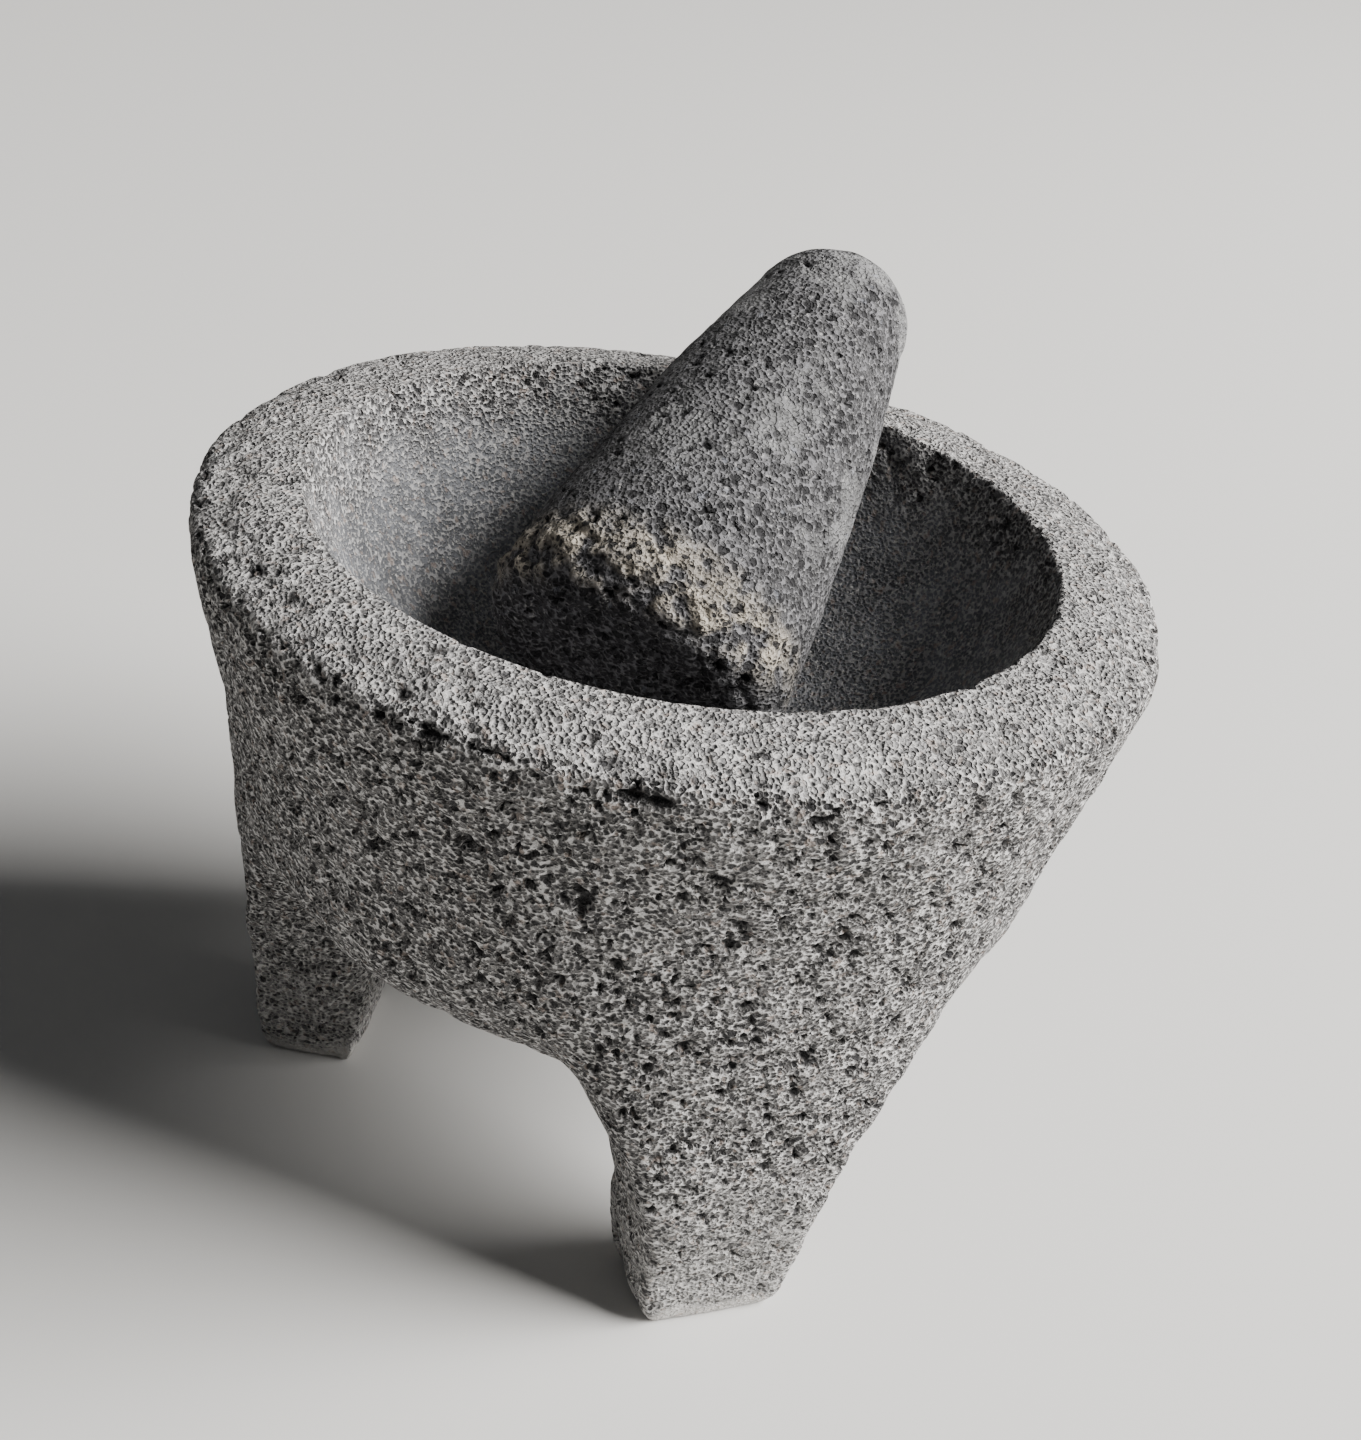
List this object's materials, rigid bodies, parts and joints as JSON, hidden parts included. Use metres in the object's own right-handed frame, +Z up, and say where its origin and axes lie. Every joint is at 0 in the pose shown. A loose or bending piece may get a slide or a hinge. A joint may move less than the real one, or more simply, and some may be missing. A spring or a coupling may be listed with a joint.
{
  "type": "mortar and pestle",
  "caption": "Thick-walled stone mortar with a round bowl standing on tapering legs carved from the same stone, and a conical stone pestle leaning in the bowl",
  "frame": {"origin": "on the ground, in the middle of the three feet, under the bowl's axis", "axes": "+Z up along the bowl's axis; the front foot points to -Y and the other two feet stand 120 degrees to either side of it"},
  "size_m": [0.171, 0.171, 0.162],
  "materials": {
    "vesicular_basalt": "rough open-pored carved basalt, worn smooth inside the bowl",
    "fine_basalt": "finer-pored carved basalt, polished by handling"
  },
  "bodies": {
    "mortar": {"mortar": "vesicular_basalt"},
    "pestle": {"pestle": "fine_basalt"}
  },
  "joints": [
    {"name": "pestle_lift", "type": "slide", "parent": "mortar", "child": "pestle", "axis": [0, 0, 1], "range_m": [0, 0.062]}
  ]
}
